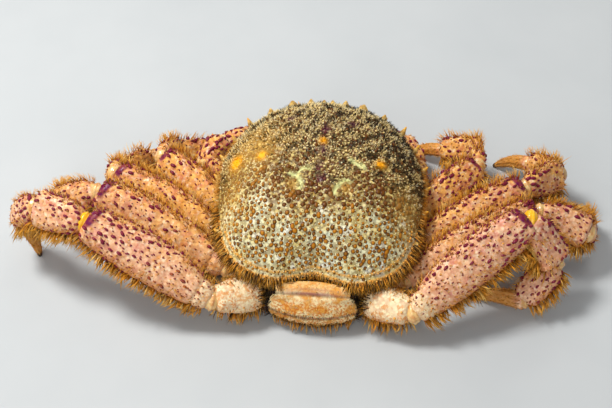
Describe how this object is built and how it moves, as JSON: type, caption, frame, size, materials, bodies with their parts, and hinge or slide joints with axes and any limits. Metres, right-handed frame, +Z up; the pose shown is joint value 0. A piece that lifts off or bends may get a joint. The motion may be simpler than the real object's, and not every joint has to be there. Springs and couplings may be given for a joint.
{
  "type": "horsehair crab",
  "caption": "Still, life-size horsehair crab lying on its belly with folded legs and claws and a bristly coat.",
  "frame": {"origin": "middle of the flat under the belly flap, on the floor", "axes": "+Z up, +Y towards the crab's front, +X towards the crab's right side"},
  "size_m": [0.28, 0.1281, 0.0586],
  "materials": {
    "shell": "pale grey-green shell with orange-brown tubercles, satin",
    "belly": "cream shell, satin",
    "leg": "pinkish shell with purple spinules, satin",
    "claw_tip": "dark brown horn, glossy",
    "eye": "black, wet",
    "feeler": "orange, satin",
    "mouth": "cream and orange, satin",
    "bristle": "golden brown stiff bristles",
    "membrane": "yellow joint skin, wet"
  },
  "bodies": {
    "root": {"carapace": "shell", "thorax": "belly", "abdomen": "belly", "eye_left": "eye", "antenna_left": "feeler", "maxilliped_left": "mouth", "claw_left_coxa": "leg", "claw_left_merus": "leg", "claw_left_carpus": "leg", "claw_left_palm": "leg", "claw_left_finger": "claw_tip", "leg_left_1_coxa": "leg", "leg_left_1_merus": "leg", "leg_left_1_carpus": "leg", "leg_left_1_propodus": "leg", "leg_left_1_dactyl": "leg", "leg_left_2_coxa": "leg", "leg_left_2_merus": "leg", "leg_left_2_carpus": "leg", "leg_left_2_propodus": "leg", "leg_left_2_dactyl": "leg", "leg_left_3_coxa": "leg", "leg_left_3_merus": "leg", "leg_left_3_carpus": "leg", "leg_left_3_propodus": "leg", "leg_left_3_dactyl": "leg", "leg_left_4_coxa": "leg", "leg_left_4_merus": "leg", "leg_left_4_carpus": "leg", "leg_left_4_propodus": "leg", "leg_left_4_dactyl": "leg", "eye_right": "eye", "antenna_right": "feeler", "maxilliped_right": "mouth", "claw_right_coxa": "leg", "claw_right_merus": "leg", "claw_right_carpus": "leg", "claw_right_palm": "leg", "claw_right_finger": "claw_tip", "leg_right_1_coxa": "leg", "leg_right_1_merus": "leg", "leg_right_1_carpus": "leg", "leg_right_1_propodus": "leg", "leg_right_1_dactyl": "leg", "leg_right_2_coxa": "leg", "leg_right_2_merus": "leg", "leg_right_2_carpus": "leg", "leg_right_2_propodus": "leg", "leg_right_2_dactyl": "leg", "leg_right_3_coxa": "leg", "leg_right_3_merus": "leg", "leg_right_3_carpus": "leg", "leg_right_3_propodus": "leg", "leg_right_3_dactyl": "leg", "leg_right_4_coxa": "leg", "leg_right_4_merus": "leg", "leg_right_4_carpus": "leg", "leg_right_4_propodus": "leg", "leg_right_4_dactyl": "leg"}
  },
  "joints": []
}
